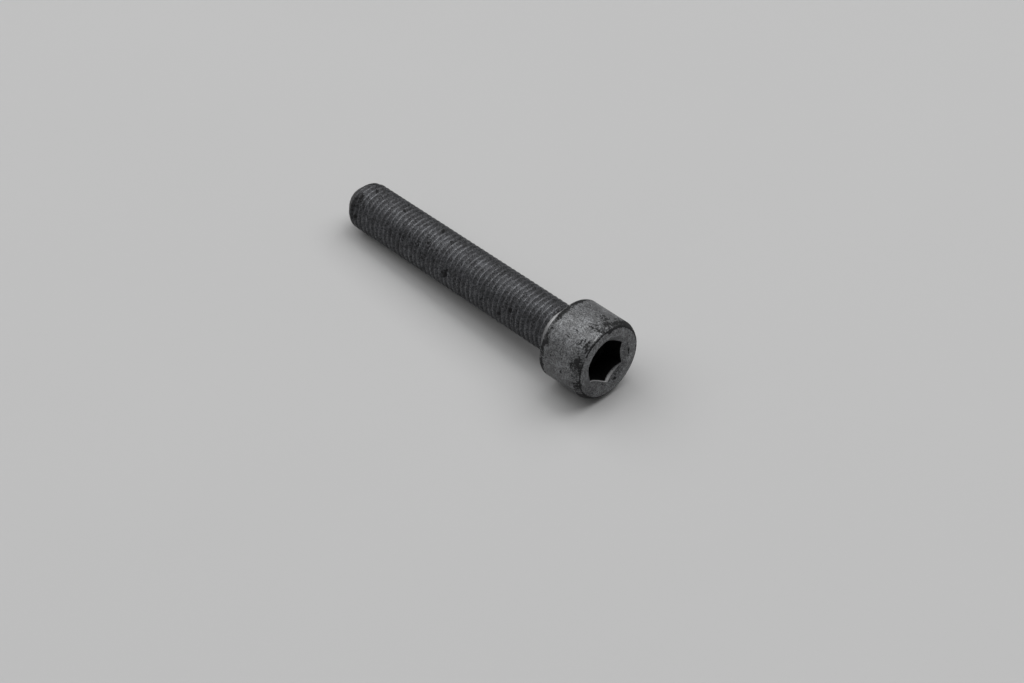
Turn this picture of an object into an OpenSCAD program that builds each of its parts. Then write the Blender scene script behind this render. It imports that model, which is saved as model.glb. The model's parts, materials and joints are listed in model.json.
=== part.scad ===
// Hexagon socket head cap screw, threaded up to its neck, with a rounded point.
// It lies as it rests on a flat surface: on the rim of the bearing face and on the point.
// The origin is the centre of the bearing face under the head. The head reaches towards
// +X and the threaded shank towards -X, and the axis rises towards the head.

/* [Head] */
// Diameter of the head
head_d = 16; // [14:0.1:18]
// Height of the head above its bearing face
head_h = 10; // [9:0.1:12]
// Length along the axis of the bevel round the top of the head
top_bevel_length = 1.1; // [0.9:0.1:1.4]
// Width across the axis of the same bevel
top_bevel_width = 0.55; // [0.4:0.05:0.8]
// Radius that softens both edges of the bevel
top_bevel_radius = 0.7; // [0.2:0.1:0.9]
// Size of the small bevel round the bearing face
under_bevel = 0.35; // [0.1:0.05:0.6]

/* [Socket] */
// Width of the hexagon across its flats
socket_width = 8.15; // [6:0.05:9]
// Depth of the flats, from the top of the head
socket_depth = 5.2; // [4.5:0.1:6]
// Diameter of the shallow cone at the bottom of the socket
socket_cone_d = 7; // [4:0.1:7.5]
// Depth of the same cone below the flats
socket_cone_depth = 0.7; // [0.3:0.1:1.2]
// Diameter of the round countersink at the mouth of the socket
countersink_d = 10.8; // [10:0.1:12]
// Full angle of the countersink
countersink_angle = 105; // [90:5:130]
// Turn of the hexagon about the axis
socket_turn = 56; // [0:1:59]

/* [Thread] */
// Outer diameter of the thread
thread_d = 9.95; // [9.7:0.05:10.4]
// Distance from one thread to the next
pitch = 1.25; // [1.1:0.05:1.5]
// Length of the shank, from the bearing face to the point
shank_length = 60; // [30:1:65]
// Width of the flat along the crest of the thread
crest_width = 0.16; // [0.1:0.01:0.25]
// Width of the flat along the root of the thread
root_width = 0.2; // [0.1:0.01:0.3]
// Turn about the axis of the end of the thread under the head
thread_turn = 60; // [0:5:355]

/* [Neck] */
// Diameter of the plain neck under the head
neck_d = 9.2; // [9:0.05:9.6]
// Length of the plain neck, up to the end of the thread
neck_length = 2; // [1.5:0.1:5]
// Radius of the fillet where the neck meets the head
neck_fillet = 0.6; // [0.2:0.1:0.8]

/* [Point] */
// Length along the axis of the rounded point
point_length = 2.9; // [2.5:0.1:4]
// Width across the axis of the rounded point
point_width = 2.6; // [2:0.1:3.2]
// Radius that rounds both ends of the point's slope
point_radius = 2.4; // [1:0.1:2.6]

/* [Hidden] */
$fn = 96;

flank_tilt = 30;
steps_per_turn = 24;
arc_steps = 6;
fade_turns = 0.4;
fade_clearance = 0.02;
neck_overlap = 0.06;
overlap = 0.5;

head_r = head_d / 2;
neck_r = neck_d / 2;
crest_r = thread_d / 2;
flank_width = (pitch - crest_width - root_width) / 2;
root_r = crest_r - flank_width / tan(flank_tilt);
point_slope = atan2(point_width, point_length);
point_start = shank_length - point_length - point_radius * tan(point_slope / 2);
thread_top = neck_overlap - neck_length;
thread_turns = ceil((shank_length - neck_length) / pitch) + 2;
last = thread_turns * steps_per_turn;
fade_end = last - steps_per_turn;

// The surface runs from the rim of the bearing face to the arc that starts the point.
rest_span = [point_start + under_bevel, head_r - crest_r + point_radius];
rest_tilt = atan2(rest_span[1], rest_span[0]) - asin(point_radius / norm(rest_span));

function reverse(list) = [for (k = [len(list) - 1:-1:0]) list[k]];

// Points of an arc of radius r about centre c, from angle a to angle b.
function arc(c, r, a, b) =
    [for (i = [0:arc_steps]) let (t = a + (b - a) * i / arc_steps) c + r * [cos(t), sin(t)]];

// The two rounded corners of a bevel that leaves the line x = r at height z - length
// and reaches the line y = z at r - width, as points from the side to the top.
function bevel(r, z, length, width, radius) =
    let (
        slope = atan2(width, length),
        side_run = radius * tan(slope / 2),
        top_run = radius * tan((90 - slope) / 2)
    )
    concat(
        arc([r - radius, z - length - side_run], radius, 0, slope),
        arc([r - width - top_run, z - radius], radius, slope, 90)
    );

module cap_screw() {
    color([0.42, 0.43, 0.43])
    rotate([0, 90 - rest_tilt, 0])
    union() {
        difference() {
            head_blank();
            socket();
        }
        neck();
        threaded_shank();
    }
}

module head_blank() {
    rotate_extrude()
    polygon(concat(
        [[0, 0], [head_r - under_bevel, 0], [head_r, under_bevel]],
        bevel(head_r, head_h, top_bevel_length, top_bevel_width, top_bevel_radius),
        [[0, head_h]]
    ));
}

module socket() {
    flat_floor = head_h - socket_depth;
    countersink_r = countersink_d / 2;
    countersink_depth = countersink_r / tan(countersink_angle / 2);
    rotate([0, 0, socket_turn])
    translate([0, 0, flat_floor])
    cylinder(d = socket_width / cos(30), h = socket_depth + overlap, $fn = 6);
    translate([0, 0, flat_floor - socket_cone_depth])
    cylinder(d1 = 0, d2 = socket_cone_d, h = socket_cone_depth);
    translate([0, 0, head_h - countersink_depth])
    cylinder(r1 = 0, r2 = countersink_r, h = countersink_depth);
}

module neck() {
    rotate_extrude()
    polygon(concat(
        [[0, overlap], [neck_r + neck_fillet, overlap], [neck_r + neck_fillet, 0]],
        arc([neck_r + neck_fillet, -neck_fillet], neck_fillet, 90, 180),
        [[neck_r, -neck_length], [0, -neck_length]]
    ));
}

// The thread is one helical skin. Its sections stand at equal steps along the helix, each
// spans one pitch as flank, crest and flank, and the root joins it to the turn above.
module thread_body() {
    upper_edge = [for (i = [last + 1:last + steps_per_turn]) thread_point(i, 0, root_r)];
    lower_centre = [0, 0, thread_top - pitch * (thread_turns + 1)];
    upper_centre = [0, 0, thread_top + pitch];
    points = concat(
        [for (i = [0:last]) each thread_section(i)],
        upper_edge,
        [lower_centre, upper_centre]
    );
    skin = [for (i = [0:last - 1]) each concat(
        patch(foot(i), foot(i) + 1, foot(i + 1) + 1, foot(i + 1)),
        patch(foot(i) + 1, foot(i) + 2, foot(i + 1) + 2, foot(i + 1) + 1),
        patch(foot(i) + 2, foot(i) + 3, foot(i + 1) + 3, foot(i + 1) + 2),
        patch(foot(i) + 3, foot(i + steps_per_turn), foot(i + steps_per_turn + 1), foot(i + 1) + 3)
    )];
    lower_cap = fan(len(points) - 2, rim(0));
    upper_cap = fan(len(points) - 1, reverse(rim(last)));
    polyhedron(points, concat(skin, lower_cap, upper_cap));
}

function thread_section(i) = [
    thread_point(i, 0, root_r),
    thread_point(i, flank_width, crest_r),
    thread_point(i, flank_width + crest_width, crest_r),
    thread_point(i, 2 * flank_width + crest_width, root_r)
];

// The point at radius r, a distance along the axis from the foot of section i.
function thread_point(i, along, r) =
    let (
        angle = thread_turn + 360 * i / steps_per_turn,
        faded = r + (neck_r - fade_clearance - r) * fade(i)
    )
    [faded * cos(angle), faded * sin(angle), thread_top + along - pitch * (last - i) / steps_per_turn];

// How far the thread has faded into the neck at section i: 0 at full depth, 1 when gone.
// The turn after fade_end stays plain and reaches up into the neck.
function fade(i) = min(1, max(0, 1 - (fade_end - i) / steps_per_turn / fade_turns));

// Index of the first point of section i. Past the last section only the upper edge is left.
function foot(i) = i <= last ? 4 * i : 4 * last + 3 + i - last;

// Two triangles across the four-sided patch between corners p, q, r and s.
function patch(p, q, r, s) = [[p, q, r], [p, r, s]];

// The turn of the root that starts at section i, and the section that closes it.
function rim(i) =
    concat([for (k = [i:i + steps_per_turn]) foot(k)], [foot(i) + 3, foot(i) + 2, foot(i) + 1]);

function fan(centre, rim) =
    [for (k = [0:len(rim) - 1]) [centre, rim[k], rim[(k + 1) % len(rim)]]];

// Everything that the finished shank may fill: a plain rod with the rounded point.
module shank_envelope() {
    envelope_r = crest_r + overlap;
    point = bevel(crest_r, 0, point_length, point_width, point_radius);
    rotate_extrude()
    polygon(concat(
        [[0, overlap], [0, -shank_length]],
        [for (p = reverse(point)) [p[0], -shank_length - p[1]]],
        [[envelope_r, point_length + overlap - shank_length], [envelope_r, overlap]]
    ));
}

module threaded_shank() {
    intersection() {
        thread_body();
        shank_envelope();
    }
}

cap_screw();
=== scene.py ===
"""The looks of a hexagon socket head cap screw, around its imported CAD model.

The screw is drawn in millimetres about its own axis: height 0 is the bearing face, the head
reaches to positive heights and the threaded shank to negative ones. An angle of 0 points down,
90 degrees to +Y and 180 up. The surface is one closed skin, which is then laid into the frame
as the CAD model lies, in metres.
"""

import json
import math

import bpy
import numpy as np
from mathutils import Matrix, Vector, noise


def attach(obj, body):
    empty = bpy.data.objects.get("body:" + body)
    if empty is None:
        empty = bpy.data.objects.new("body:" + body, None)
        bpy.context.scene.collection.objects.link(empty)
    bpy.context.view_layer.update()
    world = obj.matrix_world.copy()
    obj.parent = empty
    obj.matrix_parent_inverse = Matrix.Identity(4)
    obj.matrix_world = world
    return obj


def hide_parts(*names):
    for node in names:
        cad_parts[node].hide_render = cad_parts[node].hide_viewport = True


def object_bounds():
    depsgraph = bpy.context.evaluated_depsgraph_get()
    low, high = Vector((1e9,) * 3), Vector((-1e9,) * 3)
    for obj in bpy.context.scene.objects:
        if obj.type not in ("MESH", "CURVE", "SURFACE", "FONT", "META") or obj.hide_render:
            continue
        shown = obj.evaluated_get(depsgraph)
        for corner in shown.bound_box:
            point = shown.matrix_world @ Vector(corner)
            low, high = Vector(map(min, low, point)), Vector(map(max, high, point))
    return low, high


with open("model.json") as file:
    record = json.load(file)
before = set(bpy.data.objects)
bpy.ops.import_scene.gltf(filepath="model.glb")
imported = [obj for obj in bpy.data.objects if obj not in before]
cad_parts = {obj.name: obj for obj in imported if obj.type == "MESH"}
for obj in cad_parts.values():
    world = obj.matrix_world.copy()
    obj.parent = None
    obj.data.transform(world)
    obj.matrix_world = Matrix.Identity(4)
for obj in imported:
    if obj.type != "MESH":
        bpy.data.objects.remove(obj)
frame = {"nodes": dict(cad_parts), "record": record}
cad_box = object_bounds()

MM = 0.001
TURN = 2 * math.pi

# ---------------------------------------------------------------- the frame

MOUNTS = {mount["name"]: mount for mount in frame["record"]["mounts"]}
BEARING = Vector(MOUNTS["bearing_face"]["pos_m"])
AXIS = Vector(MOUNTS["head_top"]["axis"]).normalized()
ACROSS = Vector((0, 1, 0))
DOWN = ACROSS.cross(AXIS)


def cad_profile():
    """Heights along the axis and radii of the CAD model's vertices, in millimetres."""
    vertices = frame["nodes"]["cap_screw"].data.vertices
    places = np.array([v.co - BEARING for v in vertices]) / MM
    heights = places @ np.array(AXIS)
    radii = np.linalg.norm(places - np.outer(heights, AXIS), axis=1)
    return heights, radii


CAD_HEIGHTS, CAD_RADII = cad_profile()
HEAD_R = MOUNTS["head_side"]["dims"]["r_mm"]
HEAD_H = round(CAD_HEIGHTS.max(), 2)
SHANK_LENGTH = round(-CAD_HEIGHTS.min(), 2)
CREST_R = round(CAD_RADII[CAD_HEIGHTS < -SHANK_LENGTH / 4].max(), 3)

# ---------------------------------------------------------------- sizes in millimetres

PITCH = 1.25
CREST_WIDTH = 0.16
ROOT_WIDTH = 0.2
FLANK_SLOPE = math.tan(math.radians(30))
FLANK_WIDTH = (PITCH - CREST_WIDTH - ROOT_WIDTH) / 2
THREAD_DEPTH = FLANK_WIDTH / FLANK_SLOPE
THREAD_ROUNDING = 0.035
# Rounding where the groove cuts through the plain surface.
CUT_ROUNDING = 0.02
THREAD_TURN = math.radians(60)
# Turns over which the thread runs out under the head.
RUN_OUT = 0.4

NECK_R = 4.6
NECK_LENGTH = 2.0
NECK_OVERLAP = 0.06
NECK_FILLET = 0.6
# Depth below the bearing face of the plain ring that ends the shank's rows.
NECK_RING = 1.5

POINT_LENGTH = 2.9
POINT_WIDTH = 2.6
POINT_RADIUS = 2.4
# Share of the groove that is filled near the point, and where this starts and is complete,
# as distances from the end of the shank.
POINT_FILL = 0.3
POINT_FILL_START = 5
POINT_FILL_FULL = 2

TOP_BEVEL_LENGTH = 1.1
TOP_BEVEL_WIDTH = 0.55
TOP_BEVEL_RADIUS = 0.7
UNDER_BEVEL = 0.35

SOCKET_R = 8.15 / 2
SOCKET_DEPTH = 5.2
SOCKET_TURN = math.radians(56)
SOCKET_SHIFT = (0.05, 0.0)
SOCKET_CORNER = 0.03
# Width of the socket's lip: all round, added by the crescent, and along the line.
SOCKET_LIP = 0.12
CRESCENT = 0.36
LIP_LINE = 0.15
CONE_R = 3.5
CONE_DEPTH = 0.7
COUNTERSINK_R = 5.4
COUNTERSINK_FALL = 1 / math.tan(math.radians(105 / 2))
COUNTERSINK_EDGE = 0.07

# Height of the groove's middle where the thread has run out.
GROOVE_END = NECK_OVERLAP - NECK_LENGTH - ROOT_WIDTH / 2

# Columns of the skin round the axis.
COLUMNS = 144
ANGLES = SOCKET_TURN + TURN * np.arange(COLUMNS) / COLUMNS

# ---------------------------------------------------------------- small helpers


def smoothstep(x, low, high):
    """0 below low, 1 above high, and a smooth rise between them."""
    t = np.clip((x - low) / (high - low), 0, 1)
    return t * t * (3 - 2 * t)


def soft_min(a, b, width):
    """The lesser of a and b, rounded over a width where they cross."""
    return (a + b - np.sqrt((a - b) ** 2 + width**2)) / 2


def arc(centre, radius, start, end, steps):
    """Points (r, height) of an arc about a centre, with angles from the outward direction."""
    turns = np.linspace(math.radians(start), math.radians(end), steps + 1)
    return [(centre[0] + radius * math.cos(t), centre[1] + radius * math.sin(t)) for t in turns]


def between(a, b, steps):
    """Points that divide the way from a to b, without its ends."""
    shares = np.arange(1, steps) / steps
    return [(a[0] + (b[0] - a[0]) * s, a[1] + (b[1] - a[1]) * s) for s in shares]


def bevel(radius, end, length, width, rounding, steps):
    """The two rounded corners of a bevel, from the side at a radius to the face at height end,
    each with its number of steps."""
    way = math.copysign(1, end)
    slope = math.degrees(math.atan2(width, length))
    side_run = rounding * math.tan(math.radians(slope / 2))
    face_run = rounding * math.tan(math.radians((90 - slope) / 2))
    side = (radius - rounding, end - way * (length + side_run))
    face = (radius - width - face_run, end - way * rounding)
    side_arc = arc(side, rounding, 0, way * slope, steps[0])
    return side_arc, arc(face, rounding, way * slope, way * 90, steps[1])


def rough(x, y, z, size, seed):
    """Smooth noise from -1 to 1 at points in millimetres, with features of a given size."""
    points = np.stack([x, y, z], axis=-1).reshape(-1, 3) / size + seed * 7.31
    return np.array([noise.noise(p) for p in points]).reshape(x.shape)


# ---------------------------------------------------------------- the shank


def point_outline():
    """The rounded point, from its first arc to the middle of its end, as (r, height)."""
    side, face = bevel(CREST_R, -SHANK_LENGTH, POINT_LENGTH, POINT_WIDTH, POINT_RADIUS, (24, 24))
    return np.array(side + face + [(0.0, -SHANK_LENGTH)])


def follow_point(heights):
    """Radii and heights on the plain shank. Below the point's first arc, a height counts the
    distance along the outline instead, so the rows keep their spacing round the point."""
    outline = point_outline()
    steps = np.linalg.norm(np.diff(outline, axis=0), axis=1)
    run = np.concatenate([[0], np.cumsum(steps)])
    start = outline[0][1]
    beyond = np.clip(start - heights, 0, run[-1])
    radii = np.where(heights < start, np.interp(beyond, run, outline[:, 0]), CREST_R)
    places = np.where(heights < start, np.interp(beyond, run, outline[:, 1]), heights)
    return radii, places


def groove_depth(along):
    """Depth of the thread's groove at a distance along the axis from the groove's middle."""
    side = (np.abs(along) - ROOT_WIDTH / 2) / FLANK_SLOPE
    depth = soft_min(THREAD_DEPTH - side, THREAD_DEPTH, THREAD_ROUNDING * 2)
    return -soft_min(-depth, 0.0, THREAD_ROUNDING)


def pitch_rows():
    """Rows of one pitch, counted from the groove's middle: crest, flank, root and flank."""
    root = ROOT_WIDTH / 2
    crest = (PITCH - CREST_WIDTH) / 2
    side = [root, root + FLANK_WIDTH / 2, crest - THREAD_ROUNDING, crest + THREAD_ROUNDING]
    return np.array([-PITCH / 2] + [-x for x in reversed(side)] + [0.0] + side)


def shank_rows():
    """The shank's grid, whose rows follow the thread from the point to the neck."""
    offsets = pitch_rows()
    first_turn = -math.ceil((SHANK_LENGTH + CREST_R) / PITCH)
    turns = np.repeat(np.arange(first_turn, 2), len(offsets))[:, None]
    steps = np.tile(offsets, 2 - first_turn)[:, None]
    groove = GROOVE_END + PITCH * (turns + (ANGLES[None, :] - THREAD_TURN) / TURN)
    heights = np.where(groove + steps > -NECK_RING - PITCH / 20, -NECK_RING, groove + steps)
    plain, heights = follow_point(heights)

    groove_left = (GROOVE_END - groove) / PITCH
    crest_left = groove_left - steps / PITCH - 0.5
    neck = 1 - smoothstep(crest_left, 0, RUN_OUT)
    plain = plain - (CREST_R - NECK_R) * neck * (plain > NECK_R)
    fill_start = SHANK_LENGTH - POINT_FILL_START
    filled = 1 - POINT_FILL * smoothstep(-heights, fill_start, SHANK_LENGTH - POINT_FILL_FULL)
    depth = groove_depth(heights - groove) * smoothstep(groove_left, 0, RUN_OUT) * filled
    cut = np.clip(CREST_R - depth, 0, None)
    radii = np.where(plain > 0.01, soft_min(plain, cut, CUT_ROUNDING), 0.0)
    groove = np.clip((plain - radii) / THREAD_DEPTH, 0, 1)
    return radii, heights, groove, neck


# ---------------------------------------------------------------- the head


def hexagon():
    """Distance of the socket's walls from its middle at each column, with eased corners."""
    from_flat = np.abs((ANGLES - SOCKET_TURN) % (TURN / 6) - TURN / 12)
    corner = SOCKET_R / math.cos(TURN / 12) - SOCKET_CORNER
    return soft_min(SOCKET_R / np.cos(from_flat), corner, SOCKET_CORNER)


def head_outline():
    """The turned outline, from the neck's ring to the edge of the countersink, as (r, height)."""
    fillet = arc((NECK_R + NECK_FILLET, -NECK_FILLET), NECK_FILLET, 180, 90, 6)
    under = arc((HEAD_R - UNDER_BEVEL, UNDER_BEVEL), UNDER_BEVEL, -90, 0, 5)
    low, high = bevel(HEAD_R, HEAD_H, TOP_BEVEL_LENGTH, TOP_BEVEL_WIDTH, TOP_BEVEL_RADIUS, (4, 8))
    mouth = (COUNTERSINK_R + COUNTERSINK_EDGE, HEAD_H)
    outline = between((NECK_R, -NECK_RING), fillet[0], 5) + fillet
    outline += between(fillet[-1], under[0], 9) + under
    outline += between(under[-1], low[0], 32) + low
    outline += between(low[-1], high[0], 5) + high
    outline += between(high[-1], mouth, 8)
    return outline


def lip_shape():
    """Width of the socket's lip at each column, and how bare it is. It is worn along the two
    lowest flats: one has a crescent that narrows from the lowest corner on, the other a line."""
    flat = TURN / 6
    first = (ANGLES - SOCKET_TURN + flat) % TURN / flat
    second = (ANGLES - SOCKET_TURN + 2 * flat) % TURN / flat
    crescent = np.where(first < 1, smoothstep(first, -0.1, 0.15) * (1 - first) ** 0.8, 0)
    line = np.where(second < 1, 1, 0)
    width = SOCKET_LIP + CRESCENT * crescent + (LIP_LINE - SOCKET_LIP) * line
    bare = 0.55 + 0.25 * np.maximum(crescent, line) + 0.1 * line
    return width, bare


def cone_height(radius):
    """Height of the countersink's cone at a radius."""
    return HEAD_H - (COUNTERSINK_R - radius) * COUNTERSINK_FALL


def socket_rings():
    """Rings into the socket: radii, heights, share of its shift, how far inside, how bare."""
    edge = COUNTERSINK_EDGE
    eased = COUNTERSINK_R - edge * 0.3
    outer = COUNTERSINK_R - edge
    rings = [
        (COUNTERSINK_R + edge, HEAD_H, 0, 0, 0),
        (COUNTERSINK_R + edge * 0.4, HEAD_H - edge * 0.06, 0, 0.1, 0),
        (eased, cone_height(eased) - edge * 0.1, 0, 0.2, 0),
        (outer, cone_height(outer), 0, 0.3, 0),
    ]
    walls = hexagon()
    width, bare = lip_shape()
    lip = walls + width
    for share in (0.2, 0.4, 0.6, 0.8, 0.95):
        radii = outer + (lip - outer) * share
        rings.append((radii, cone_height(radii), share, 0.3, 0))
    deep = cone_height(walls)
    start = deep - width * 0.5
    for t in (0, 0.25, 0.5, 0.75, 1):
        radii = walls + width * (1 - t) ** 2
        turned = cone_height(lip) * (1 - t) ** 2 + 2 * deep * t * (1 - t)
        rings.append((radii, turned + start * t**2, 1, 0.4 + 0.1 * t, bare * (1 - t**4)))
    floor = HEAD_H - SOCKET_DEPTH
    for share in (0.04, 0.1, 0.2, 0.35, 0.5, 0.7, 0.9, 0.97, 1.0):
        rings.append((walls, start + (floor - start) * share, 1, 0.8 + 0.2 * share, 0))
    for share in (0.1, 0.5, 1.0):
        rings.append((walls + (CONE_R - walls) * share, floor, 1 - share, 1, 0))
    for share in (0.25, 0.5, 0.75, 1.0):
        rings.append((CONE_R * (1 - share), floor - CONE_DEPTH * share, 0, 1, 0))
    return rings


# ---------------------------------------------------------------- wear, painted shade and a painted glint

# Heights between which the head's wear grows, and middle and spread of the worn rim under it.
UPPER_WEAR = (5.0, 9.0)
WORN_RIM = (0.65, 0.5)

# Middle and spread, in degrees, of the angles where the head's side is cleaner, where the bevel
# keeps few stains round the painted glint, and where painted shade darkens the coat near the
# floor and along the top of the shank.
CLEAN_SIDE = (200, 16)
GLINT_BEVEL = (201, 10)
DARK_SIDE = (305, 28)
DARK_TOP = (168, 17)

# Size of the patches of wear and of the grain, and how deep chips and grain go.
PATCH_SIZE = 2.6
GRAIN_SIZE = 0.7
CHIP_DEPTH = 0.07
GRAIN_DEPTH = 0.006

# Dark marks round the head: angle in degrees, height, half length round the axis, half width
# along it, and strength.
HEAD_MARKS = [
    (241, 9.0, 1.7, 0.8, 0.95),
    (247, 8.0, 1.2, 0.5, 0.85),
    (262, 8.6, 2.4, 0.9, 0.5),
    (273, 9.3, 3.0, 0.6, 0.5),
    (240, 6.8, 0.5, 1.1, 0.5),
    (229, 8.6, 0.8, 1.1, 0.6),
    (224, 9.6, 1.4, 0.4, 0.6),
    (166, 7.7, 1.1, 0.6, 0.95),
    (162, 9.2, 1.2, 0.6, 0.85),
    (176, 8.2, 1.5, 0.6, 0.5),
    (174, 8.8, 1.5, 0.8, 0.9),
    (149, 8.3, 1.6, 0.7, 0.8),
    (185, 6.8, 0.9, 0.6, 0.4),
    (214, 7.2, 1.2, 0.7, 0.4),
    (239, 1.1, 0.9, 0.8, 1.0),
    (190, 0.95, 0.7, 0.45, 0.9),
    (203, 1.0, 0.6, 0.4, 0.7),
    (222, 0.9, 1.0, 0.4, 0.85),
    (259, 1.0, 1.2, 0.5, 0.8),
    (276, 1.0, 1.5, 0.5, 0.6),
    (181, 1.2, 0.35, 0.25, 0.9),
    (219, 4.7, 0.22, 0.6, 0.85),
    (206, 5.6, 0.2, 0.4, 0.7),
    (220, 2.3, 0.22, 0.4, 0.7),
    (229, 3.5, 0.2, 0.4, 0.6),
    (260, 2.0, 0.25, 0.4, 0.85),
    (254, 3.0, 0.35, 0.4, 0.95),
    (249, 5.6, 0.3, 0.4, 0.85),
    (268, 5.8, 0.45, 0.3, 1.1),
    (232, 6.6, 0.25, 0.35, 0.6),
    (237, 4.1, 0.2, 0.9, 0.55),
    (112, 8.6, 1.8, 0.8, 0.8),
    (88, 1.1, 1.4, 0.6, 0.8),
    (60, 6.2, 0.5, 0.5, 0.8),
    (31, 8.9, 2.2, 0.7, 0.7),
]

# A bare, bright spot on the bevel where the glint falls, a painted highlight, given in the same
# way.
PAINTED_GLINT_MARKS = [
    (201, 9.62, 1.2, 0.26, 0.75),
]

# The same round the shank.
SHANK_MARKS = [
    (259.5, -29.6, 0.6, 0.55, 2.2),
    (252, -29.2, 1.2, 0.9, 0.6),
    (245, -11.6, 0.5, 0.4, 1.0),
    (211, -55.9, 0.8, 0.45, 1.2),
    (174, -54.4, 0.4, 0.35, 1.1),
    (187, -49.9, 0.5, 0.35, 1.0),
    (179, -45.8, 0.4, 0.35, 1.0),
    (214, -43.6, 0.35, 0.3, 0.9),
    (264, -55.5, 0.8, 0.5, 0.75),
    (213, -26.4, 0.35, 0.3, 0.95),
    (221, -26.3, 0.3, 0.3, 0.9),
    (282, -35.7, 0.6, 0.4, 0.9),
    (164, -35.5, 0.9, 0.5, 0.9),
    (182, -31.8, 0.7, 0.4, 0.7),
    (196, -25.4, 0.3, 0.3, 0.8),
    (229, -38.0, 1.6, 1.4, 0.5),
    (247, -36.0, 1.6, 1.2, 0.5),
    (242, -57.0, 2.4, 1.4, 0.6),
    (280, -48.2, 0.5, 0.4, 0.9),
    (268, -14.2, 0.5, 0.4, 0.9),
    # Painted shade: a dark blot at the top of the last groove, where it runs out.
    (167, -2.8, 1.4, 0.3, 1.0),
    (226, -20.0, 0.35, 0.3, 0.8),
    (115, -18.5, 0.8, 0.6, 0.9),
    (60, -40.0, 0.9, 0.7, 0.9),
    (20, -27.0, 0.6, 0.5, 0.9),
    (330, -51.0, 0.9, 0.6, 0.8),
]

# The same on the face round the socket, with a radius in place of the height.
FACE_MARKS = [
    (175, 6.95, 0.6, 0.35, 1.1),
    (168, 7.2, 1.4, 0.4, 0.8),
    (278, 7.1, 0.6, 0.3, 1.0),
    (230, 7.3, 2.2, 0.25, 0.7),
    (300, 7.3, 2.4, 0.22, 0.6),
    (345, 7.3, 2.0, 0.25, 0.7),
    (84, 7.2, 0.7, 0.25, 0.8),
    (205, 7.2, 1.2, 0.25, 0.7),
    (18, 5.25, 0.4, 0.2, 1.2),
    (82, 5.35, 1.6, 0.14, 0.7),
    (120, 6.1, 0.5, 0.3, 0.5),
    (318, 6.3, 0.5, 0.3, 0.5),
]


def covered(marks, angles, radii, run):
    """How strongly marks cover points, whose run is a height or a radius as in the marks."""
    cover = np.zeros(run.shape)
    for degrees, place, length, width, strength in marks:
        turned = (angles - math.radians(degrees) + math.pi) % TURN - math.pi
        reach = (turned * radii / length) ** 2 + ((run - place) / width) ** 2
        cover = np.maximum(cover, strength * np.exp(-reach))
    return cover


def hump(x, middle, width):
    """1 at the middle, falling smoothly to nothing over about twice the width."""
    return np.exp(-(((x - middle) / width) ** 2))


def head_wear(angles, radii, heights, clouds):
    """Wear outside the head: its marks, the rim under it, its upper part and its bevel."""
    degrees = np.degrees(angles) % 360
    clean = 1 - 0.6 * hump(degrees, *CLEAN_SIDE)
    # Fewer stains on the bevel round the painted glint.
    clear_round_glint = 1 - 0.7 * hump(degrees, *GLINT_BEVEL)
    inner_edge = HEAD_R - TOP_BEVEL_WIDTH - 0.12
    bevel_start = HEAD_H - TOP_BEVEL_LENGTH
    upper = smoothstep(heights, *UPPER_WEAR) * (0.28 + 0.6 * clouds) * clean
    rim = hump(heights, *WORN_RIM) * (0.8 + 0.8 * clouds)
    low_edge = hump(heights, bevel_start, 0.2) * (0.75 + 0.9 * clouds) * clear_round_glint
    on_bevel = smoothstep(heights, bevel_start - 0.5, bevel_start + 0.2)
    bevel_wear = on_bevel * (0.6 + 0.7 * clouds) * clear_round_glint
    marks = covered(HEAD_MARKS, angles, radii, heights)
    side = np.maximum.reduce([marks, rim, low_edge, bevel_wear, 0.12 + 0.35 * clouds + upper])
    high_edge = hump(radii, inner_edge, 0.22) * (0.95 + 0.7 * clouds)
    marks = covered(FACE_MARKS, angles, radii, radii)
    face = np.maximum.reduce([marks, high_edge, 0.16 + 0.2 * clouds])
    return np.where((radii < inner_edge + 0.1) & (heights > HEAD_H / 2), face, side)


def shank_wear_and_shade(angles, radii, heights, clouds, groove):
    """Wear on the shank: its marks, patches and dirt round the point, with painted shade in the
    last groove.
    """
    marks = covered(SHANK_MARKS, angles, radii, heights)
    point = smoothstep(-heights, SHANK_LENGTH - 4, SHANK_LENGTH - 0.8)
    # Painted shade in the last groove before the neck.
    groove_shade = smoothstep(groove, 0.3, 0.8) * smoothstep(heights, -3.3, -2.8)
    return np.maximum(marks, 0.2 + 0.3 * clouds + 0.5 * point + 0.7 * groove_shade)


def painted_shade_and_dark_end(angles, heights, on_head):
    """How much the coat is darkened: painted shade near the floor and along the top of the shank,
    and darker towards the point's end.
    """
    degrees = np.degrees(angles) % 360
    top = hump(degrees, *DARK_TOP) * np.where(on_head, 0, 1)
    end = smoothstep(-heights, SHANK_LENGTH - 7, SHANK_LENGTH - 1)
    return np.maximum.reduce([hump(degrees, *DARK_SIDE), 0.8 * top, 1.6 * end])


# ---------------------------------------------------------------- one closed skin

# Points that are closer than this, in millimetres, become one.
MERGE_DISTANCE = 0.0005


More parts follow.
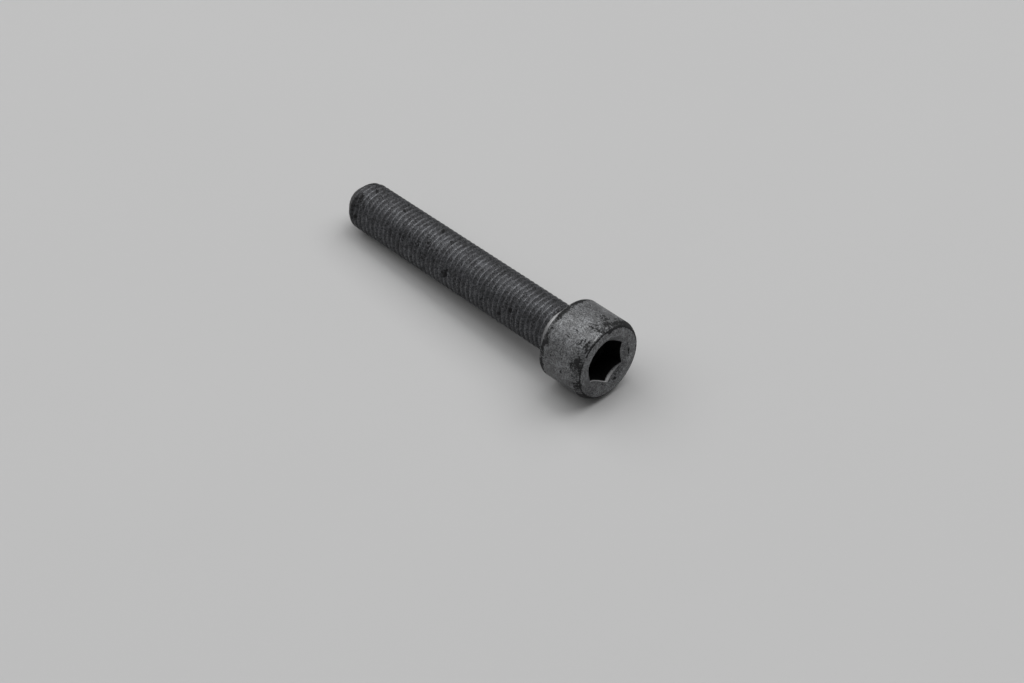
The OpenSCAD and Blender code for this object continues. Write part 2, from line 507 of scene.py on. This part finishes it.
def screw_surface():
    """Points in millimetres as (down, across, height), quads, and zones for the material."""
    radii, heights, groove, neck = shank_rows()
    shank_count = len(radii)
    rings = [(r, h, 0, 0, h < -0.01) for r, h in head_outline()] + socket_rings()
    wide = np.ones(COLUMNS)
    radii = np.vstack([radii] + [ring[0] * wide for ring in rings])
    heights = np.vstack([heights] + [ring[1] * wide for ring in rings])
    shift = np.concatenate([np.zeros(shank_count), [ring[2] for ring in rings]])[:, None]
    inside = np.concatenate([np.zeros(shank_count), [ring[3] for ring in rings]])[:, None]
    inside = inside * wide
    groove = np.vstack([groove, np.zeros((len(rings), COLUMNS))])
    bare = np.vstack([neck] + [ring[4] * wide for ring in rings])
    angles = np.broadcast_to(ANGLES, radii.shape)
    # Bare steel on the neck and the socket's lip, and a bare spot on the bevel as a painted
    # highlight.
    bare = np.maximum(bare, covered(PAINTED_GLINT_MARKS, angles, radii, heights))
    down = radii * np.cos(angles) + shift * SOCKET_SHIFT[0]
    across = radii * np.sin(angles) + shift * SOCKET_SHIFT[1]

    on_head = (heights > -0.01) | (inside > 0)
    clouds = rough(down, across, heights, PATCH_SIZE, 2)
    grain = rough(down, across, heights, GRAIN_SIZE, 3)
    head_part = head_wear(angles, radii, heights, clouds)
    shank_part = shank_wear_and_shade(angles, radii, heights, clouds, groove)
    wear_and_shade = np.where(on_head, head_part, shank_part)
    chip = smoothstep(wear_and_shade + grain * 0.6, 0.75, 1.3) * (inside < 0.35) * (bare < 0.5)
    shrink = 1 - (CHIP_DEPTH * chip + GRAIN_DEPTH * grain) / np.maximum(radii, 1)
    down = down * shrink
    across = across * shrink

    along = np.arange(COLUMNS)
    rows_per_pitch = len(pitch_rows())
    quads = []
    for row in range(len(radii) - 1):
        base = row * COLUMNS
        last_step = 0 if row >= shank_count - rows_per_pitch - 1 else rows_per_pitch
        right = np.where(along == COLUMNS - 1, base + last_step * COLUMNS, base + along + 1)
        quads.append(np.stack([base + along, right, right + COLUMNS, base + along + COLUMNS], 1))
    points = np.stack([down, across, heights], axis=-1).reshape(-1, 3)
    zones = {
        "thread": np.where(on_head, 0, 1 - bare),
        "groove": groove,
        "bare": bare,
        "inside": inside,
        "wear_and_shade": wear_and_shade,
        # Painted shade near the floor and along the top of the shank, and a darker point's end.
        "dark": painted_shade_and_dark_end(angles, heights, on_head) * (radii > NECK_R - 1),
    }
    return points, np.concatenate(quads), zones


def merged(points, faces):
    """The points that stay once those that lie on each other are one, and the faces that keep
    at least three corners."""
    keys = np.round(points / MERGE_DISTANCE).astype(np.int64)
    _, first, index = np.unique(keys, axis=0, return_index=True, return_inverse=True)
    clean = []
    for face in index.ravel()[faces]:
        corners = [int(c) for k, c in enumerate(face) if c != face[k - 1]]
        if len(set(corners)) > 2:
            clean.append(corners)
    return first, clean


def build_screw():
    """The skin, laid into the frame, with its zones and outward directions for the material."""
    points, quads, zones = screw_surface()
    first, faces = merged(points, quads)
    to_frame = np.array([DOWN, ACROSS, AXIS])
    places = points[first] @ to_frame * MM + np.array(BEARING)
    mesh = bpy.data.meshes.new("cap_screw_skin")
    mesh.from_pydata(places.tolist(), [], faces)
    for name, values in zones.items():
        attribute = mesh.attributes.new(name, "FLOAT", "POINT")
        attribute.data.foreach_set("value", values.ravel()[first].astype(np.float32))
    outward = points[first] * (1, 1, 0) @ to_frame
    attribute = mesh.attributes.new("outward", "FLOAT_VECTOR", "POINT")
    attribute.data.foreach_set("vector", outward.ravel().astype(np.float32))
    mesh.shade_smooth()
    mesh.materials.append(coated_steel())
    screw = bpy.data.objects.new("cap_screw_skin", mesh)
    bpy.context.scene.collection.objects.link(screw)
    return screw


# ---------------------------------------------------------------- materials

# A Mix node's inputs and output for each type of data. Its input 0 is the share.
MIX_SOCKETS = {"FLOAT": (2, 3, 0), "VECTOR": (4, 5, 1), "RGBA": (6, 7, 2)}


class Graph:
    """A material's nodes, with short calls for the few kinds that are used here."""

    def __init__(self, name):
        self.material = bpy.data.materials.new(name)
        self.material.use_nodes = True
        self.nodes = self.material.node_tree.nodes
        self.links = self.material.node_tree.links
        self.shader = self.nodes["Principled BSDF"]
        place = self.nodes.new("ShaderNodeTexCoord").outputs["Object"]
        self.place = self.vector("MULTIPLY", place, (1 / MM, 1 / MM, 1 / MM))

    def put(self, socket, value):
        if isinstance(value, bpy.types.NodeSocket):
            self.links.new(value, socket)
        else:
            socket.default_value = value

    def vector(self, operation, value, other=(0, 0, 0)):
        node = self.nodes.new("ShaderNodeVectorMath")
        node.operation = operation
        self.put(node.inputs[0], value)
        self.put(node.inputs[1], other)
        return node.outputs["Vector"]

    def math(self, operation, *values):
        node = self.nodes.new("ShaderNodeMath")
        node.operation = operation
        for socket, value in zip(node.inputs, values):
            self.put(socket, value)
        return node.outputs[0]

    def zone(self, name):
        """The value of one of the mesh's zones."""
        node = self.nodes.new("ShaderNodeAttribute")
        node.attribute_name = name
        return node.outputs["Fac"]

    def noise(self, size, detail=2.0, roughness=0.5, shift=0.0):
        """Noise around 0.5 with features of a given size in millimetres."""
        node = self.nodes.new("ShaderNodeTexNoise")
        moved = self.vector("ADD", self.place, (shift, shift, shift))
        self.put(node.inputs["Vector"], moved)
        node.inputs["Scale"].default_value = 1 / size
        node.inputs["Detail"].default_value = detail
        node.inputs["Roughness"].default_value = roughness
        return node.outputs["Fac"]

    def leaned(self, share, name):
        """The surface's normal, leaned by a share towards a direction kept on the mesh."""
        kept = self.nodes.new("ShaderNodeAttribute")
        kept.attribute_name = name
        turned = self.nodes.new("ShaderNodeVectorTransform")
        turned.vector_type = "NORMAL"
        turned.convert_from = "OBJECT"
        turned.convert_to = "WORLD"
        self.put(turned.inputs[0], kept.outputs["Vector"])
        normal = self.nodes.new("ShaderNodeNewGeometry").outputs["Normal"]
        direction = self.vector("NORMALIZE", turned.outputs[0])
        return self.vector("NORMALIZE", self.mix("VECTOR", share, normal, direction))

    def step(self, value, low, high):
        """0 below low, 1 above high, and a smooth rise between them."""
        node = self.nodes.new("ShaderNodeMapRange")
        node.interpolation_type = "SMOOTHSTEP"
        self.put(node.inputs["Value"], value)
        node.inputs["From Min"].default_value = low
        node.inputs["From Max"].default_value = high
        return node.outputs["Result"]

    def mix(self, kind, share, low, high, blend="MIX"):
        """A value that goes from low to high as share goes from 0 to 1."""
        node = self.nodes.new("ShaderNodeMix")
        node.data_type = kind
        node.blend_type = blend
        first, second, result = MIX_SOCKETS[kind]
        self.put(node.inputs[0], share)
        self.put(node.inputs[first], low)
        self.put(node.inputs[second], high)
        return node.outputs[result]

    def between(self, share, low, high):
        return self.mix("FLOAT", share, low, high)

    def colour(self, share, low, high, blend="MIX"):
        return self.mix("RGBA", share, low, high, blend)

    def bump(self, height, distance, strength, normal):
        """The normal, tilted by a height whose full range stands for a distance in metres."""
        node = self.nodes.new("ShaderNodeBump")
        self.put(node.inputs["Height"], height)
        node.inputs["Distance"].default_value = distance
        node.inputs["Strength"].default_value = strength
        self.put(node.inputs["Normal"], normal)
        return node.outputs["Normal"]


def grey(value, red=0.0, blue=0.0):
    """A grey, with the shares by which red and blue differ from it."""
    return (value * (1 + red), value, value * (1 + blue), 1)


COAT_DARK = grey(0.122, -0.01, 0.02)
COAT_LIGHT = grey(0.22, -0.02, 0.03)
COAT_SHADED = grey(0.02)
BARE_STEEL = grey(0.48, 0.0, 0.01)
# Colour of the stains, and of the painted shade in the last groove.
STAIN_AND_SHADE = grey(0.008, 0.0, 0.05)
# Painted shade filling the socket's walls and floor.
SOCKET_DARK = grey(0.012)
FLOOR_DARK = grey(0.524)
FLOOR_LIGHT = grey(0.539)

# What the coat is multiplied by: at the ends of its grain, and on the thread.
GRAIN_DARK = grey(0.5)
GRAIN_LIGHT = grey(1.5)
# The groove's value below the crest's is painted shade in the grooves and painted highlight along
# the crests.
THREAD_CREST = grey(0.66, 0.0, 0.03)
THREAD_GROOVE = grey(0.56, 0.0, 0.03)


def coated_steel():
    """Matte grey coating on steel, darker on the thread, worn and stained in dark specks, with
    painted shade in the grooves, near the floor, along the top of the shank, in the last groove
    and inside the socket. The neck and the socket's lip are bare and bright, and a bare spot on
    the bevel is a painted highlight. On the thread the normal leans outwards, which makes the
    rings as faint as in the photo."""
    g = Graph("coated_steel")
    thread, groove, wear_and_shade = g.zone("thread"), g.zone("groove"), g.zone("wear_and_shade")
    bare = g.step(g.zone("bare"), 0.4, 0.9)
    coated = g.math("SUBTRACT", 1.0, bare)
    hollow = g.step(g.zone("inside"), 0.55, 0.75)

    # The coat: mottled, grainy, darker on the thread, with painted shade in its grooves, near the
    # floor and along the top of the shank, and darker towards the point's end.
    clouds = g.noise(3.0, detail=3, shift=5)
    patches = g.noise(0.9, detail=4, roughness=0.65, shift=11)
    grain = g.noise(0.28, detail=3, roughness=0.65, shift=23)

    mottle = g.math("MULTIPLY_ADD", clouds, 0.3, g.math("MULTIPLY", patches, 0.7))
    coat = g.colour(g.step(mottle, 0.38, 0.62), COAT_DARK, COAT_LIGHT)
    fine = g.colour(g.step(grain, 0.34, 0.66), GRAIN_DARK, GRAIN_LIGHT)
    coat = g.colour(1.0, coat, fine, "MULTIPLY")
    # Grooves darker than crests: painted shade in the grooves and painted highlight lines on the
    # crests.
    crest_and_groove_shading = g.colour(g.step(groove, 0.02, 0.3), THREAD_CREST, THREAD_GROOVE)
    coat = g.colour(thread, coat, g.colour(1.0, coat, crest_and_groove_shading, "MULTIPLY"))
    # Painted shade: the coat is darkened near the floor and along the top of the shank.
    coat = g.colour(g.math("MULTIPLY", g.zone("dark"), 0.35), coat, COAT_SHADED)
    # Bare steel on the neck and the lip, and as a painted highlight on the bevel.
    base = g.colour(bare, coat, BARE_STEEL)

    # Stains, where the wear and the specks add up, with painted shade in the last groove, and
    # painted shade filling the inside of the socket.
    blots = g.noise(0.45, detail=4, roughness=0.7, shift=31)
    specks = g.math("MULTIPLY_ADD", blots, 0.65, g.math("MULTIPLY", patches, 0.35))
    stains_and_shade = g.step(g.math("MULTIPLY_ADD", wear_and_shade, 0.3, specks), 0.60, 0.72)
    stains_and_shade = g.math("MULTIPLY", stains_and_shade, coated)
    base = g.colour(g.math("MULTIPLY", stains_and_shade, 0.93), base, STAIN_AND_SHADE)
    # Painted shade: the socket's walls and floor turn near black.
    base = g.colour(hollow, base, SOCKET_DARK)
    g.put(g.shader.inputs["Base Color"], base)

    # Stains and the painted groove shade are dull and not metallic, and the thread's crests are
    # the smoothest.
    metal = g.between(bare, g.between(stains_and_shade, 0.65, 0.0), 1.0)
    g.put(g.shader.inputs["Metallic"], metal)
    matte = g.between(stains_and_shade, g.between(grain, 0.35, 0.55), 0.75)
    smooth = g.math("MULTIPLY", thread, g.step(groove, 0.5, 0.1))
    matte = g.between(thread, matte, g.between(grain, 0.5, 0.65))
    matte = g.between(smooth, matte, 0.32)
    g.put(g.shader.inputs["Roughness"], g.between(bare, matte, 0.58))
    g.shader.inputs["Specular IOR Level"].default_value = 0.2

    # The leaned normal of the thread, then patches, grain and the edges of the stains.
    skin = g.leaned(g.math("MULTIPLY", thread, 0.3), "outward")
    skin = g.bump(patches, 0.0002, 0.3, skin)
    skin = g.bump(grain, 0.00012, 0.4, skin)
    skin = g.bump(g.math("SUBTRACT", 1.0, stains_and_shade), 0.00005, 0.5, skin)
    g.put(g.shader.inputs["Normal"], skin)
    return g.material


def floor_paper():
    """Matte pale grey with faint broad clouds."""
    g = Graph("pale_floor")
    tone = g.noise(60, detail=2, shift=3)
    base = g.colour(tone, FLOOR_DARK, FLOOR_LIGHT)
    g.put(g.shader.inputs["Base Color"], base)
    g.shader.inputs["Roughness"].default_value = 0.6
    g.shader.inputs["Specular IOR Level"].default_value = 0.2
    return g.material


# ---------------------------------------------------------------- stage, light and camera

# Half the side of the floor, and strength of the grey room's light.
FLOOR_HALF = 3.0
ROOM_LIGHT = 0.16

# Softboxes that face the origin: name, place, width and height in metres, and watts.
SOFTBOXES = [
    ("softbox_end", (-0.72, -0.3, 1.12), (1.7, 1.1), 9.0),
    ("softbox_far", (0.1, 0.65, 1.15), (1.1, 1.1), 8.7),
    ("softbox_top", (0.0, 0.0, 1.4), (0.9, 0.9), 3.6),
]

# The camera's angles in degrees, its distance in metres, its lens and sensor in millimetres,
# and the point that it looks at, from the middle of the CAD model's box in metres.
CAMERA_AZIMUTH = 46.59
CAMERA_ELEVATION = 43.45
CAMERA_DISTANCE = 0.4078
CAMERA_LENS = 78.0
CAMERA_SENSOR = 36.0
LOOK_OFFSET = Vector((0.0179, -0.0081, -0.0008))


def build_floor(level):
    half = FLOOR_HALF
    corners = [(-half, -half), (half, -half), (half, half), (-half, half)]
    mesh = bpy.data.meshes.new("floor")
    mesh.from_pydata([(x, y, level) for x, y in corners], [], [(0, 1, 2, 3)])
    mesh.materials.append(floor_paper())
    floor = bpy.data.objects.new("floor", mesh)
    bpy.context.scene.collection.objects.link(floor)


def build_light():
    """Three softboxes in a grey room: high beyond the point, high on the far side, and above."""
    world = bpy.data.worlds.new("studio")
    world.use_nodes = True
    background = world.node_tree.nodes["Background"]
    background.inputs["Color"].default_value = (1, 1, 1, 1)
    background.inputs["Strength"].default_value = ROOM_LIGHT
    bpy.context.scene.world = world
    for name, place, size, energy in SOFTBOXES:
        lamp = bpy.data.lights.new(name, "AREA")
        lamp.shape = "RECTANGLE"
        lamp.size, lamp.size_y = size
        lamp.energy = energy
        light = bpy.data.objects.new(name, lamp)
        light.location = place
        light.rotation_euler = Vector(place).to_track_quat("Z", "Y").to_euler()
        bpy.context.scene.collection.objects.link(light)


def build_camera():
    azimuth = math.radians(CAMERA_AZIMUTH)
    elevation = math.radians(CAMERA_ELEVATION)
    target = (cad_box[0] + cad_box[1]) / 2 + LOOK_OFFSET
    back = Vector((
        math.sin(azimuth) * math.cos(elevation),
        -math.cos(azimuth) * math.cos(elevation),
        math.sin(elevation),
    ))
    data = bpy.data.cameras.new("camera")
    data.lens = CAMERA_LENS
    data.sensor_width = CAMERA_SENSOR
    data.clip_start = 0.01
    camera = bpy.data.objects.new("camera", data)
    camera.location = target + back * CAMERA_DISTANCE
    camera.rotation_euler = back.to_track_quat("Z", "Y").to_euler()
    bpy.context.scene.collection.objects.link(camera)
    bpy.context.scene.camera = camera


# ---------------------------------------------------------------- the scene

screw = build_screw()
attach(screw, "root")
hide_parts("cap_screw")

build_floor(cad_box[0].z)
build_light()
build_camera()
bpy.context.scene.view_settings.view_transform = "Standard"
